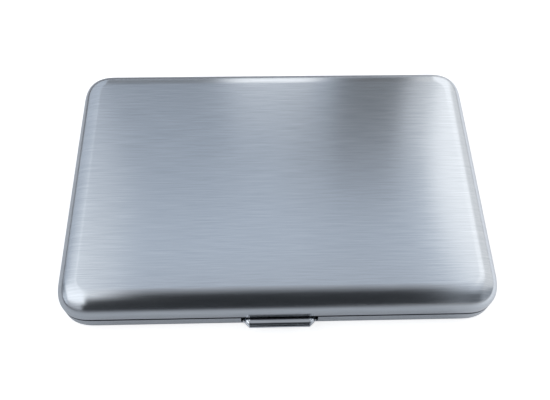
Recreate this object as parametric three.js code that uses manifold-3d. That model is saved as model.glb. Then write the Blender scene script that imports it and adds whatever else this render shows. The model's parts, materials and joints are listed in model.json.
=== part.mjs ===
// Business card case: two pressed steel halves, hinged along the back, with a spring catch in front and
// a sprung retainer that holds the cards down.
// Millimetres. X runs along the case, +Y points to the hinge and +Z up. The origin is the middle of the
// flat bottom. The case is drawn closed, with the catch out and the retainer lying on the bottom.

import * as THREE from 'three';
import { mergeVertices } from 'three/addons/utils/BufferGeometryUtils.js';
import Module from 'manifold-3d';

const wasm = await Module();
wasm.setup();

// ---------------------------------------------------------------- driving dimensions

const plan = { length: 95, width: 63.5, corner: 6 };    // outline of both shells, seen from above
const sheet = 0.5;                                      // thickness of the pressed sheet
const gap = 0.3;                                        // space left between pieces that move
const play = 0.25;                                      // space left where a piece is fixed to another

const base = { rim: 5.9, roll: 3.5 };                   // height of its rim, radius of its bottom edge
const lid = { rim: base.rim + gap, roll: 4.6, rollTop: 12.15, crown: 0.55, crownRings: [28, 20, 12] };

// The base frame stands up into the lid as a lip, except at the back, behind lipBack.
const baseFrame = {
  inset: 0.75, thickness: 0.6, bottom: 2.9, lip: 6.9, lipBack: 24, backTop: 5.8, catchRoom: 1.5,
};
const lidFrame = { inset: 1.1, thickness: 0.5, bottom: 7.35, top: 9.2 };

const hinge = { y: 32, z: (base.rim + lid.rim) / 2, barrel: 1, knuckles: 7, length: 70, notchRoom: 0.8 };
const pin = { radius: 0.5, head: 0.75, halfLength: 35.4 };
const leaf = { thickness: 0.5, halfLength: 37.8 };      // both hinge leaves
const leafEar = { front: 1.1, top: 0.95, bottom: 2.8 }; // front and top are measured from the rod
const runningClearance = 0.1;                           // round each pin and rod
const wireHead = 0.3;                                   // length of a pin's or rod's flattened end

// The tail of a rivet stops this short of the far face of the pieces it joins.
const rivet = { shank: 0.35, hole: 0.5, head: 0.8, dome: 0.35, seat: 0.1, short: 0.05 };
const hingeRivetsX = [-30, -10, 10, 30];                // between the knuckles' joints
const hingeRivetZ = { base: 3.85, lid: 8.3 };

const thumb = {
  rootWidth: 16, proud: 1.45, bottom: 3.45, top: 5.65, flangeWidth: 22, flange: 0.8, notchRoom: 0.35,
};
const hook = { thickness: 0.5, width: 8, reach: 0.8, noseBottom: 7.05, noseTip: 0.25, top: 8, plateTop: 5.5 };
const hookJog = { foot: 4.6, bottom: 5.2, top: 5.9, lean: 0.2 };    // where the arm steps back to the strike
const catchSpring = {
  thickness: 0.3, bottom: 3.5, top: 5.1, halfLength: 20.5, rivetX: 18.5, footX: 15.5, flatX: 12,
};
const strike = {
  thickness: 0.45, width: 16, windowWidth: 9.2, bottom: 6.3, barTop: 6.75, windowTop: 8.2, top: 8.8,
  rivetX: 6.6, rivetZ: 8, hookRoom: 0.35,
};

const rod = { y: 27.6, z: 3.7, radius: 0.5, head: 0.8, halfLength: 38.3 };
const retainer = {
  thickness: 0.6, outerWidth: 73.6, armWidth: 5, front: -20, barWidth: 7, height: 0.8, corner: 3,
};
const retainerEar = { front: 1, back: 0.6, top: 0.9 };  // measured from the rod
const coil = { wire: 0.15, radius: 0.85, turns: 3, length: 2.4, middleX: 33.9, stepsPerTurn: 10 };
// The long leg runs forward from the rod and dips to the arm; the short one runs back.
const coilLeg = { reach: 7, dipReach: 4, dipZ: 2.1, lift: 0.2, short: 1.25 };

// ---------------------------------------------------------------- worked-out places

const frontWall = -plan.width / 2;
const backWall = plan.width / 2;
const baseFrameFace = backWall - baseFrame.inset - baseFrame.thickness;     // inner face at the back
const lidFrameFace = backWall - lidFrame.inset - lidFrame.thickness;
const baseLeafFace = baseFrameFace - play;                                  // leaf's face to the frame
const lidLeafFace = lidFrameFace - play;
const tongueBottom = hinge.z - hinge.barrel;                                // base leaf's tongue
const tongueTop = hinge.z + hinge.barrel;                                   // lid leaf's tongue
const notchHalfLength = hinge.length / 2 + hinge.notchRoom;                 // room for the pin's heads
const flangeFront = frontWall + sheet + play;
const flangeBack = flangeFront + thumb.flange;
const hookFront = flangeBack + play;
const hookBack = hookFront + hook.thickness;
const strikeFront = -lidFrameFace + play;
const strikeBack = strikeFront + strike.thickness;
const hookArmFront = strikeBack + strike.hookRoom;
const catchRivetX = (thumb.rootWidth + thumb.flangeWidth) / 4;
const catchRivetZ = (thumb.bottom + thumb.top) / 2;
const catchSpringZ = (catchSpring.bottom + catchSpring.top) / 2;
const catchSpringFoot = -baseFrameFace + play;

// ---------------------------------------------------------------- shared builders

function closed(geometry) {
  // Drops everything but positions, so that vertices in one place become one vertex.
  geometry.deleteAttribute('normal');
  geometry.deleteAttribute('uv');
  return mergeVertices(geometry, 1e-5);
}

function toSolid(geometry) {
  const merged = closed(geometry.clone());
  const vertProperties = new Float32Array(merged.attributes.position.array);
  const triVerts = new Uint32Array(merged.index.array);
  return new wasm.Manifold(new wasm.Mesh({ numProp: 3, vertProperties, triVerts }));
}

function toGeometry(solid) {
  const { vertProperties, triVerts } = solid.getMesh();
  const geometry = new THREE.BufferGeometry();
  geometry.setAttribute('position', new THREE.BufferAttribute(new Float32Array(vertProperties), 3));
  geometry.setIndex(new THREE.BufferAttribute(new Uint32Array(triVerts), 1));
  return geometry;
}

function join(geometries) {
  return toGeometry(geometries.map(toSolid).reduce((sum, solid) => sum.add(solid)));
}

function cut(geometry, tools) {
  return toGeometry(tools.map(toSolid).reduce((rest, tool) => rest.subtract(tool), toSolid(geometry)));
}

function block(x0, x1, y0, y1, z0, z1) {
  return new THREE.BoxGeometry(x1 - x0, y1 - y0, z1 - z0)
    .translate((x0 + x1) / 2, (y0 + y1) / 2, (z0 + z1) / 2);
}

function outlineShape(points) {
  return new THREE.Shape(points.map(([x, y]) => new THREE.Vector2(x, y)));
}

// A flat outline in X and Y, raised from z0 to z1.
function raised(points, z0, z1) {
  return new THREE.ExtrudeGeometry(outlineShape(points), { depth: z1 - z0, bevelEnabled: false })
    .translate(0, 0, z0);
}

// A section in Y and Z, drawn along X from x0 to x1.
function drawnAlongX(points, x0, x1) {
  return new THREE.ExtrudeGeometry(outlineShape(points), { depth: x1 - x0, bevelEnabled: false })
    .rotateX(Math.PI / 2)
    .rotateZ(Math.PI / 2)
    .translate(x0, 0, 0);
}

function rodAlongX(radius, x0, x1, y, z, sides = 16) {
  return new THREE.CylinderGeometry(radius, radius, x1 - x0, sides)
    .rotateZ(Math.PI / 2)
    .translate((x0 + x1) / 2, y, z);
}

function holeAlongY(x, y, z) {
  return new THREE.CylinderGeometry(rivet.hole, rivet.hole, 4, 12).translate(x, y, z);
}

// The plan outline, moved in from the walls by inset.
function planOutline(inset) {
  const steps = 6;
  const radius = Math.max(plan.corner - inset, 1);
  const halfX = plan.length / 2 - inset - radius;
  const halfY = plan.width / 2 - inset - radius;
  const points = [];
  [[1, 1], [-1, 1], [-1, -1], [1, -1]].forEach(([sideX, sideY], quarter) => {
    for (let step = 0; step <= steps; step += 1) {
      const angle = (quarter + step / steps) * Math.PI / 2;
      points.push([
        sideX * halfX + radius * Math.cos(angle),
        sideY * halfY + radius * Math.sin(angle),
      ]);
    }
  });
  return points;
}

// Carries a section, a list of [inset, z], round the plan outline. A ring's section closes on itself;
// a shell's starts and ends with a flat cap over the middle.
function carriedRoundPlan(section, isRing) {
  const rings = section.map(([inset, z]) => planOutline(inset).map(([x, y]) => [x, y, z]));
  const count = rings[0].length;
  const positions = rings.flat(2);
  const triangles = [];
  const ringPairs = isRing ? rings.length : rings.length - 1;
  for (let ring = 0; ring < ringPairs; ring += 1) {
    const next = (ring + 1) % rings.length;
    for (let i = 0; i < count; i += 1) {
      const j = (i + 1) % count;
      const [a, b, c, d] = [ring * count + i, ring * count + j, next * count + j, next * count + i];
      triangles.push(a, b, c, a, c, d);
    }
  }
  if (!isRing) {
    const last = (rings.length - 1) * count;
    const middle = positions.length / 3;
    positions.push(0, 0, section[0][1], 0, 0, section[section.length - 1][1]);
    for (let i = 0; i < count; i += 1) {
      const j = (i + 1) % count;
      triangles.push(middle, j, i, middle + 1, last + i, last + j);
    }
  }
  const geometry = new THREE.BufferGeometry();
  geometry.setAttribute('position', new THREE.Float32BufferAttribute(positions, 3));
  geometry.setIndex(triangles);
  return geometry;
}

// Points of a quarter round in a section, from the flat of the shell out to its wall.
function rollPoints(roll, radius, middleZ, up) {
  const steps = 5;
  const points = [];
  for (let step = 0; step <= steps; step += 1) {
    const angle = (step / steps) * Math.PI / 2;
    points.push([roll - radius * Math.sin(angle), middleZ + up * radius * Math.cos(angle)]);
  }
  return points;
}

// A domed rivet along Y. Its head sits on the face at headY and its shank runs to tailY.
function rivetAlongY(x, headY, tailY, z) {
  const away = Math.sign(headY - tailY);
  const length = Math.abs(headY - tailY) + rivet.seat;
  const profile = [
    [0, 0], [rivet.shank, 0], [rivet.shank, length], [rivet.head, length],
    [rivet.head * 0.8, length + rivet.dome * 0.7], [0, length + rivet.dome],
  ].map(([radius, along]) => new THREE.Vector2(radius, along));
  const geometry = new THREE.LatheGeometry(profile, 12);
  if (away < 0) geometry.rotateX(Math.PI);
  return geometry.translate(x, tailY, z);
}

function sides(action) {
  return [['left', -1], ['right', 1]].map(([side, sign]) => action(side, sign));
}

// ---------------------------------------------------------------- materials

function steel(colour, roughness) {
  return new THREE.MeshStandardMaterial({ color: colour, roughness, metalness: 1 });
}

const brushedSteel = () => steel(0x9ca4ad, 0.38);
const plainSteel = () => steel(0xa9aeb4, 0.3);
const springSteel = () => steel(0x8c9096, 0.25);
const brightSteel = () => steel(0xb9bfc6, 0.18);

const caseGroup = new THREE.Group();

function add(name, geometry, material, parent = caseGroup) {
  const mesh = new THREE.Mesh(closed(geometry), material);
  mesh.name = name;
  parent.add(mesh);
}

// ---------------------------------------------------------------- base

function baseShell() {
  const outer = rollPoints(base.roll, base.roll, base.roll, -1);
  const inner = rollPoints(base.roll, base.roll - sheet, base.roll, -1);
  const section = [...outer, [0, base.rim], [sheet, base.rim], ...inner.reverse()];
  const thumbNotch = thumb.rootWidth / 2 + thumb.notchRoom;
  return cut(carriedRoundPlan(section, false), [
    block(-thumbNotch, thumbNotch, frontWall - 1, frontWall + 1, thumb.bottom - gap, base.rim + 1),
    block(-notchHalfLength, notchHalfLength, backWall - 1, backWall + 1, tongueBottom - gap, base.rim + 1),
  ]);
}

function frameRing(frame, bottom, top) {
  const inner = frame.inset + frame.thickness;
  return carriedRoundPlan([[inner, bottom], [frame.inset, bottom], [frame.inset, top], [inner, top]], true);
}

function baseFrameRing() {
  const catchOpening = thumb.flangeWidth / 2 + baseFrame.catchRoom;
  const { lipBack, backTop } = baseFrame;
  const tools = [
    block(-catchOpening, catchOpening, frontWall, frontWall + 4, 0, base.rim + 2),
    block(-plan.length, plan.length, lipBack, backWall, backTop, base.rim + 2),
    block(-notchHalfLength, notchHalfLength, lipBack, backWall, tongueBottom - gap, base.rim + 2),
  ];
  hingeRivetsX.forEach((x) => tools.push(holeAlongY(x, baseFrameFace, hingeRivetZ.base)));
  sides((side, sign) => tools.push(holeAlongY(sign * catchSpring.rivetX, -baseFrameFace, catchSpringZ)));
  return cut(frameRing(baseFrame, baseFrame.bottom, baseFrame.lip), tools);
}

// Every other knuckle, starting with the first for the base and the second for the lid.
function knuckleSpans(first) {
  const pitch = hinge.length / hinge.knuckles;
  const spans = [];
  for (let i = first; i < hinge.knuckles; i += 2) {
    const start = -hinge.length / 2 + i * pitch;
    spans.push([start + gap / 2, start + pitch - gap / 2]);
  }
  return spans;
}

// One leaf: a plate against the frame, and a tongue out to each knuckle.
function hingeLeaf({ face, plateBottom, plateTop, tongueFrom, halfLength, firstKnuckle, rivetZ }) {
  const inside = face - leaf.thickness;
  const tongueTo = tongueFrom + leaf.thickness;
  const parts = [
    block(-halfLength, halfLength, inside, face, plateBottom, plateTop),
    block(-hinge.length / 2, hinge.length / 2, inside, hinge.y - hinge.barrel - gap, tongueFrom, tongueTo),
  ];
  knuckleSpans(firstKnuckle).forEach(([x0, x1]) => {
    parts.push(block(x0, x1, inside, hinge.y, tongueFrom, tongueTo));
    parts.push(rodAlongX(hinge.barrel, x0, x1, hinge.y, hinge.z));
  });
  const holes = hingeRivetsX.map((x) => holeAlongY(x, face, rivetZ));
  holes.push(rodAlongX(pin.radius + runningClearance, -plan.length, plan.length, hinge.y, hinge.z));
  return cut(join(parts), holes);
}

function baseHingeLeaf() {
  const plate = hingeLeaf({
    face: baseLeafFace,
    plateBottom: baseFrame.bottom,
    plateTop: tongueBottom + leaf.thickness,
    tongueFrom: tongueBottom,
    halfLength: leaf.halfLength,
    firstKnuckle: 0,
    rivetZ: hingeRivetZ.base,
  });
  const ears = sides((side, sign) => {
    const outer = sign * leaf.halfLength;
    const inner = sign * (leaf.halfLength - leaf.thickness);
    return block(Math.min(outer, inner), Math.max(outer, inner), rod.y - leafEar.front, baseLeafFace,
      leafEar.bottom, rod.z + leafEar.top);
  });
  return cut(join([plate, ...ears]), [
    rodAlongX(rod.radius + runningClearance, -plan.length, plan.length, rod.y, rod.z),
  ]);
}

function lidHingeLeaf() {
  return hingeLeaf({
    face: lidLeafFace,
    plateBottom: tongueTop - leaf.thickness,
    plateTop: lidFrame.top,
    tongueFrom: tongueTop - leaf.thickness,
    halfLength: hinge.length / 2,
    firstKnuckle: 1,
    rivetZ: hingeRivetZ.lid,
  });
}

// A wire with a flattened head at each end.
function headedWire(radius, headRadius, halfLength, y, z) {
  const shoulder = halfLength - wireHead;
  const profile = [
    [0, -halfLength], [headRadius, -halfLength], [headRadius, -shoulder], [radius, -shoulder],
    [radius, shoulder], [headRadius, shoulder], [headRadius, halfLength], [0, halfLength],
  ].map(([r, along]) => new THREE.Vector2(r, along));
  return new THREE.LatheGeometry(profile, 16).rotateZ(Math.PI / 2).translate(0, y, z);
}

// A strip that stands off the frame in the middle, where it pushes the catch out.
function catchSpringStrip() {
  const { halfLength, footX, flatX } = catchSpring;
  const foot = catchSpringFoot;
  const middle = hookBack + rivet.seat + rivet.dome + gap;
  const outerEdge = [
    [-halfLength, foot], [-footX, foot], [-flatX, middle], [flatX, middle], [footX, foot], [halfLength, foot],
  ];
  const innerEdge = outerEdge.map(([x, y]) => [x, y + catchSpring.thickness]).reverse();
  const strip = raised([...outerEdge, ...innerEdge], catchSpring.bottom, catchSpring.top);
  return cut(strip, sides((side, sign) => holeAlongY(sign * catchSpring.rivetX, foot, catchSpringZ)));
}

add('base_shell', baseShell(), brushedSteel());
add('base_frame', baseFrameRing(), plainSteel());
add('base_hinge_leaf', baseHingeLeaf(), plainSteel());
add('hinge_pin', headedWire(pin.radius, pin.head, pin.halfLength, hinge.y, hinge.z), brightSteel());
add('retainer_rod', headedWire(rod.radius, rod.head, rod.halfLength, rod.y, rod.z), brightSteel());
add('catch_spring', catchSpringStrip(), springSteel());

hingeRivetsX.forEach((x, i) => {
  const tail = baseFrameFace + baseFrame.thickness - rivet.short;
  const head = baseLeafFace - leaf.thickness;
  add(`base_hinge_rivet_${i + 1}`, rivetAlongY(x, head, tail, hingeRivetZ.base), brightSteel());
});

sides((side, sign) => {
  const tail = -baseFrameFace - baseFrame.thickness + rivet.short;
  const head = catchSpringFoot + catchSpring.thickness;
  add(`catch_spring_rivet_${side}`, rivetAlongY(sign * catchSpring.rivetX, head, tail, catchSpringZ),
    brightSteel());
});

// ---------------------------------------------------------------- lid

function crownZ(inset) {
  const share = (inset - lid.roll) / (plan.width / 2 - lid.roll);
  return lid.rollTop + lid.crown * (1 - (1 - share) ** 2);
}

function lidShell() {
  const middleZ = lid.rollTop - lid.roll;
  const crown = lid.crownRings.map((inset) => [inset, crownZ(inset)]);
  const innerCrown = crown.map(([inset, z]) => [inset, z - sheet]);
  const outer = rollPoints(lid.roll, lid.roll, middleZ, 1).reverse();
  const inner = rollPoints(lid.roll, lid.roll - sheet, middleZ, 1);
  const section = [
    ...innerCrown, ...inner, [sheet, lid.rim], [0, lid.rim], ...outer, ...crown.reverse(),
  ];
  return cut(carriedRoundPlan(section, false), [
    block(-notchHalfLength, notchHalfLength, backWall - 1, backWall + 1, lid.rim - 1, tongueTop + gap),
  ]);
}

function lidFrameRing() {
  const tools = hingeRivetsX.map((x) => holeAlongY(x, lidFrameFace, hingeRivetZ.lid));
  sides((side, sign) => tools.push(holeAlongY(sign * strike.rivetX, -lidFrameFace, strike.rivetZ)));
  return cut(frameRing(lidFrame, lidFrame.bottom, lidFrame.top), tools);
}

function strikePlate() {
  const plate = block(-strike.width / 2, strike.width / 2, strikeFront, strikeBack,
    strike.bottom, strike.top);
  const half = strike.windowWidth / 2;
  const tools = [block(-half, half, strikeFront - 1, strikeBack + 1, strike.barTop, strike.windowTop)];
  sides((side, sign) => tools.push(holeAlongY(sign * strike.rivetX, strikeFront, strike.rivetZ)));
  return cut(plate, tools);
}

add('lid_shell', lidShell(), brushedSteel());
add('lid_frame', lidFrameRing(), plainSteel());
add('lid_hinge_leaf', lidHingeLeaf(), plainSteel());
add('strike_plate', strikePlate(), plainSteel());

hingeRivetsX.forEach((x, i) => {
  const tail = lidFrameFace + lidFrame.thickness - rivet.short;
  add(`lid_hinge_rivet_${i + 1}`, rivetAlongY(x, lidLeafFace - leaf.thickness, tail, hingeRivetZ.lid),
    brightSteel());
});

sides((side, sign) => {
  const tail = -lidFrameFace - lidFrame.thickness + rivet.short;
  add(`strike_rivet_${side}`, rivetAlongY(sign * strike.rivetX, strikeBack, tail, strike.rivetZ),
    brightSteel());
});

// ---------------------------------------------------------------- catch

// The button outside the wall, with ends cut at 45 degrees, and the flange behind the wall.
function thumbPiece() {
  const root = thumb.rootWidth / 2;
  const flange = thumb.flangeWidth / 2;
  const nose = frontWall - thumb.proud;
  const right = [
    [root - thumb.proud, nose], [root, frontWall], [root, flangeFront],
    [flange, flangeFront], [flange, flangeBack],
  ];
  const left = right.map(([x, y]) => [-x, y]).reverse();
  return cut(raised([...right, ...left], thumb.bottom, thumb.top),
    sides((side, sign) => holeAlongY(sign * catchRivetX, flangeBack, catchRivetZ)));
}

// A plate on the flange, and an arm up into the lid with a nose that faces the front.
function catchHook() {
  const armBack = hookArmFront + hook.thickness;
  const nose = hookArmFront - hook.reach;
  const arm = [
    [hookFront, hookJog.foot], [hookBack, hookJog.foot], [hookBack, hookJog.bottom],
    [armBack, hookJog.top], [armBack, hook.top], [hookArmFront, hook.top],
    [nose, hook.noseBottom + hook.noseTip], [nose, hook.noseBottom], [hookArmFront, hook.noseBottom],
    [hookArmFront, hookJog.top + hookJog.lean], [hookFront, hookJog.bottom + hookJog.lean],
  ];
  const half = thumb.flangeWidth / 2;
  const plate = block(-half, half, hookFront, hookBack, thumb.bottom, hook.plateTop);
  return cut(join([plate, drawnAlongX(arm, -hook.width / 2, hook.width / 2)]),
    sides((side, sign) => holeAlongY(sign * catchRivetX, hookBack, catchRivetZ)));
}

add('thumb_piece', thumbPiece(), brightSteel());
add('catch_hook', catchHook(), springSteel());

sides((side, sign) => {
  add(`catch_rivet_${side}`, rivetAlongY(sign * catchRivetX, hookBack, flangeFront + rivet.short,
    catchRivetZ), brightSteel());
});

// ---------------------------------------------------------------- card retainer

// A flat U with its bar to the front, and an ear up to the rod on each arm.
function cardRetainer() {
  const half = retainer.outerWidth / 2;
  const armInner = half - retainer.armWidth;
  const barBack = retainer.front + retainer.barWidth;
  const armBack = rod.y + retainerEar.back;
  const top = retainer.height + retainer.thickness;
  const { corner } = retainer;
  const right = [
    [half - corner, retainer.front], [half, retainer.front + corner], [half, armBack],
    [armInner, armBack], [armInner, barBack + corner], [armInner - corner, barBack],
  ];
  const left = right.map(([x, y]) => [-x, y]).reverse();
  const ears = sides((side, sign) => {
    const outer = sign * half;
    const inner = sign * (half - retainer.thickness);
    return block(Math.min(outer, inner), Math.max(outer, inner), rod.y - retainerEar.front, armBack,
      retainer.height, rod.z + retainerEar.top);
  });
  return cut(join([raised([...right, ...left], retainer.height, top), ...ears]), [
    rodAlongX(rod.radius + runningClearance, -plan.length, plan.length, rod.y, rod.z),
  ]);
}

// A coil round the rod with one leg on the retainer's arm and a short one against the hinge leaf.
function retainerSpring(sign) {
  const { stepsPerTurn } = coil;
  const steps = coil.turns * stepsPerTurn;
  const armTop = retainer.height + retainer.thickness + coil.wire + coilLeg.lift;
  const startX = sign * (coil.middleX - coil.length / 2);
  const points = [
    new THREE.Vector3(startX, rod.y - coilLeg.reach, armTop),
    new THREE.Vector3(startX, rod.y - coilLeg.dipReach, coilLeg.dipZ),
  ];
  for (let step = 0; step <= steps; step += 1) {
    const angle = -Math.PI / 2 + (step / stepsPerTurn) * 2 * Math.PI;
    points.push(new THREE.Vector3(
      startX + sign * coil.length * (step / steps),
      rod.y + coil.radius * Math.cos(angle),
      rod.z + coil.radius * Math.sin(angle),
    ));
  }
  const endX = startX + sign * coil.length;
  points.push(new THREE.Vector3(endX, rod.y + coilLeg.short, rod.z - coil.radius));
  const section = new THREE.Shape();
  section.absarc(0, 0, coil.wire, 0, 2 * Math.PI);
  return new THREE.ExtrudeGeometry(section, {
    extrudePath: new THREE.CatmullRomCurve3(points),
    steps: points.length * 2,
    curveSegments: 3,
  });
}

add('card_retainer', cardRetainer(), springSteel());
sides((side, sign) => add(`retainer_spring_${side}`, retainerSpring(sign), springSteel()));

export default caseGroup;
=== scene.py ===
import json
import math

import bmesh
import bpy
import numpy as np
from mathutils import Matrix, Vector


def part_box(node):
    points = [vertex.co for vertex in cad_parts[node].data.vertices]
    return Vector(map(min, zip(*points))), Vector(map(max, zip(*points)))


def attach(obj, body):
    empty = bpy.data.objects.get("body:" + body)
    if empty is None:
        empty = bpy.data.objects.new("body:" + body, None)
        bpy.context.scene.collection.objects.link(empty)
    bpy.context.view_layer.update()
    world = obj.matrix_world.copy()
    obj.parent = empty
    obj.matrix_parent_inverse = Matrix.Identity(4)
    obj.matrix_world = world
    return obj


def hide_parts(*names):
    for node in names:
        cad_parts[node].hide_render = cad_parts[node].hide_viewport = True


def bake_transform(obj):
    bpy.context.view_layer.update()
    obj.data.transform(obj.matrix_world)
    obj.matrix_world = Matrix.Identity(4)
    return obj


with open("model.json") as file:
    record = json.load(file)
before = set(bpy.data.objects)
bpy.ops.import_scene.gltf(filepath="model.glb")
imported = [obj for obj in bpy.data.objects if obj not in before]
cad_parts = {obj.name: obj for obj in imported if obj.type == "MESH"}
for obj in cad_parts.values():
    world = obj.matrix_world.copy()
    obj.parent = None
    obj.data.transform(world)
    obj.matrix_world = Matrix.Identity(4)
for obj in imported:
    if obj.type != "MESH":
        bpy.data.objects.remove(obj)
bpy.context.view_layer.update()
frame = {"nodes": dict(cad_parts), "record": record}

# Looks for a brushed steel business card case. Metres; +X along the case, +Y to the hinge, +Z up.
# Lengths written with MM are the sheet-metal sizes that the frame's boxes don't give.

MM = 0.001

# ---------------------------------------------------------------- sizes, read from the frame

base_low, base_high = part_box("base_shell")
lid_low, lid_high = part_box("lid_shell")
thumb_low, thumb_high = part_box("thumb_piece")
pin_low, pin_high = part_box("hinge_pin")
rod_low, rod_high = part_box("retainer_rod")

HALF_X = base_high.x
HALF_Y = base_high.y
SHEET = 0.5 * MM
BASE_ROLL = 3.5 * MM
BASE_DEPTH = 3.5 * MM
LID_ROLL = 4.6 * MM
LID_DEPTH = 4.9 * MM
CROWN = 0.55 * MM
HINGE_Y = (pin_low.y + pin_high.y) / 2
HINGE_Z = (pin_low.z + pin_high.z) / 2
BARREL = 1.0 * MM
HINGE_NOTCH = pin_high.x + 0.4 * MM
THUMB_NOTCH = 8.35 * MM
GAP = 0.3 * MM
UV_SPAN = 0.12              # metres of sheet across the brushing's UV map


# ---------------------------------------------------------------- mesh helpers

def new_object(name, mesh):
    obj = bpy.data.objects.new(name, mesh)
    bpy.context.scene.collection.objects.link(obj)
    return obj


def mesh_object(name, vertices, faces):
    mesh = bpy.data.meshes.new(name)
    mesh.from_pydata([tuple(v) for v in vertices], [], faces)
    mesh.validate()
    return new_object(name, mesh)


def apply_modifiers(obj):
    bpy.context.view_layer.update()
    evaluated = obj.evaluated_get(bpy.context.evaluated_depsgraph_get())
    mesh = bpy.data.meshes.new_from_object(evaluated)
    old = obj.data
    obj.modifiers.clear()
    obj.data = mesh
    bpy.data.meshes.remove(old)


def face_out(obj):
    work = bmesh.new()
    work.from_mesh(obj.data)
    bmesh.ops.remove_doubles(work, verts=work.verts, dist=1e-7)
    bmesh.ops.recalc_face_normals(work, faces=work.faces)
    work.to_mesh(obj.data)
    work.free()


def soften(obj, width, segments=2, angle=38):
    """Rounds every sharp edge a little and shades the rest smooth."""
    bevel = obj.modifiers.new("edges", "BEVEL")
    bevel.width = width
    bevel.segments = segments
    bevel.limit_method = "ANGLE"
    bevel.angle_limit = math.radians(angle)
    bevel.miter_outer = "MITER_ARC"
    apply_modifiers(obj)
    obj.data.polygons.foreach_set("use_smooth", [True] * len(obj.data.polygons))
    weighted = obj.modifiers.new("normals", "WEIGHTED_NORMAL")
    weighted.keep_sharp = True
    weighted.weight = 60
    apply_modifiers(obj)


def combine(obj, tools, operation):
    """Cuts the tools from obj, or joins them to it, one after another."""
    for tool in tools:
        step = obj.modifiers.new("combine", "BOOLEAN")
        step.operation = operation
        step.solver = "EXACT"
        step.object = tool
        apply_modifiers(obj)
        bpy.data.objects.remove(tool, do_unlink=True)
    return obj


def rounded(points, closed=True, steps=6):
    """A list of (a, b, radius) as plain points, with an arc of its radius at each corner."""
    result = []
    count = len(points)
    for i, (a, b, radius) in enumerate(points):
        here = Vector((a, b))
        is_end = not closed and i in (0, count - 1)
        if radius == 0 or is_end:
            result.append((a, b))
            continue
        before = (Vector(points[i - 1][:2]) - here).normalized()
        after = (Vector(points[(i + 1) % count][:2]) - here).normalized()
        half_angle = before.angle(after) / 2
        middle = here + (before + after).normalized() * radius / math.sin(half_angle)
        start = here + before * radius / math.tan(half_angle) - middle
        end = here + after * radius / math.tan(half_angle) - middle
        for step in range(steps + 1):
            share = step / steps
            spoke = (start * (1 - share) + end * share).normalized() * radius
            result.append(tuple(middle + spoke))
    return result


def prism(name, outline, low, high, axis):
    """A closed outline raised along an axis. Its two numbers are the other axes', in XYZ order."""
    def place(a, b, along):
        return {"X": (along, a, b), "Y": (a, along, b), "Z": (a, b, along)}[axis]

    count = len(outline)
    vertices = [place(a, b, low) for a, b in outline] + [place(a, b, high) for a, b in outline]
    faces = [(i, (i + 1) % count, count + (i + 1) % count, count + i) for i in range(count)]
    faces += [tuple(range(count)), tuple(range(count, 2 * count))]
    obj = mesh_object(name, vertices, faces)
    face_out(obj)
    return obj


def block(x0, x1, y0, y1, z0, z1):
    return prism("block", [(x0, y0), (x1, y0), (x1, y1), (x0, y1)], z0, z1, "Z")


def turned(name, profile, middle, axis, sides=36):
    """A list of (radius, distance along the axis) turned round the axis through middle."""
    work = bmesh.new()
    rings = []
    for radius, along in profile:
        if radius == 0:
            rings.append([work.verts.new((0, 0, along))])
            continue
        turns = [2 * math.pi * i / sides for i in range(sides)]
        rings.append([work.verts.new((radius * math.cos(t), radius * math.sin(t), along)) for t in turns])
    for one, two in zip(rings, rings[1:]):
        for i in range(sides):
            j = (i + 1) % sides
            corners = [one[i % len(one)], one[j % len(one)], two[j % len(two)], two[i % len(two)]]
            work.faces.new(dict.fromkeys(corners))
    mesh = bpy.data.meshes.new(name)
    work.to_mesh(mesh)
    work.free()
    turn = {"X": Matrix.Rotation(math.pi / 2, 4, "Y"), "Y": Matrix.Rotation(-math.pi / 2, 4, "X")}[axis]
    mesh.transform(Matrix.Translation(middle) @ turn)
    obj = new_object(name, mesh)
    face_out(obj)
    return obj


def strip_section(path, thickness):
    """The outline of a bent strip whose middle line is path, a list of plain points."""
    line = [Vector(p) for p in path]
    sides = ([], [])
    for i, point in enumerate(line):
        ahead = line[min(i + 1, len(line) - 1)]
        behind = line[max(i - 1, 0)]
        along = (ahead - behind).normalized()
        across = Vector((-along.y, along.x)) * thickness / 2
        sides[0].append(tuple(point + across))
        sides[1].append(tuple(point - across))
    return sides[0] + sides[1][::-1]


def arc(middle_a, middle_b, radius, from_degrees, to_degrees, steps):
    turns = [math.radians(from_degrees + (to_degrees - from_degrees) * i / steps) for i in range(steps + 1)]
    return [(middle_a + radius * math.cos(t), middle_b + radius * math.sin(t)) for t in turns]


def both_sides(action):
    return [action(side, sign) for side, sign in (("left", -1), ("right", 1))]


# ---------------------------------------------------------------- shells and frames

CORNER_STEPS = 24
FLAT_RINGS = 12
RIM_STEPS = 5
RIM_FLAT = 0.02 * MM        # between the rim's outer and inner rounding
LEVEL_WALL = 1.3 * MM       # the stretch of wall at the rim that the crown leaves level
CORNER_REACH = 7.8 * MM     # how far along each side a corner's curve starts
CORNER_POWER = 2.6          # 2 is a circle; more eases the curve into the sides
ROLL_POWER = 2.1            # the same, for the rounding between the flat and the wall


def straight_samples(half, count, marks=()):
    """Places along a straight run of the outline, with marks among them for a notch's ends."""
    places = set(np.round(np.linspace(-half, half, count + 1), 7))
    places.update(round(m, 7) for m in marks)
    return sorted(places)


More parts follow.
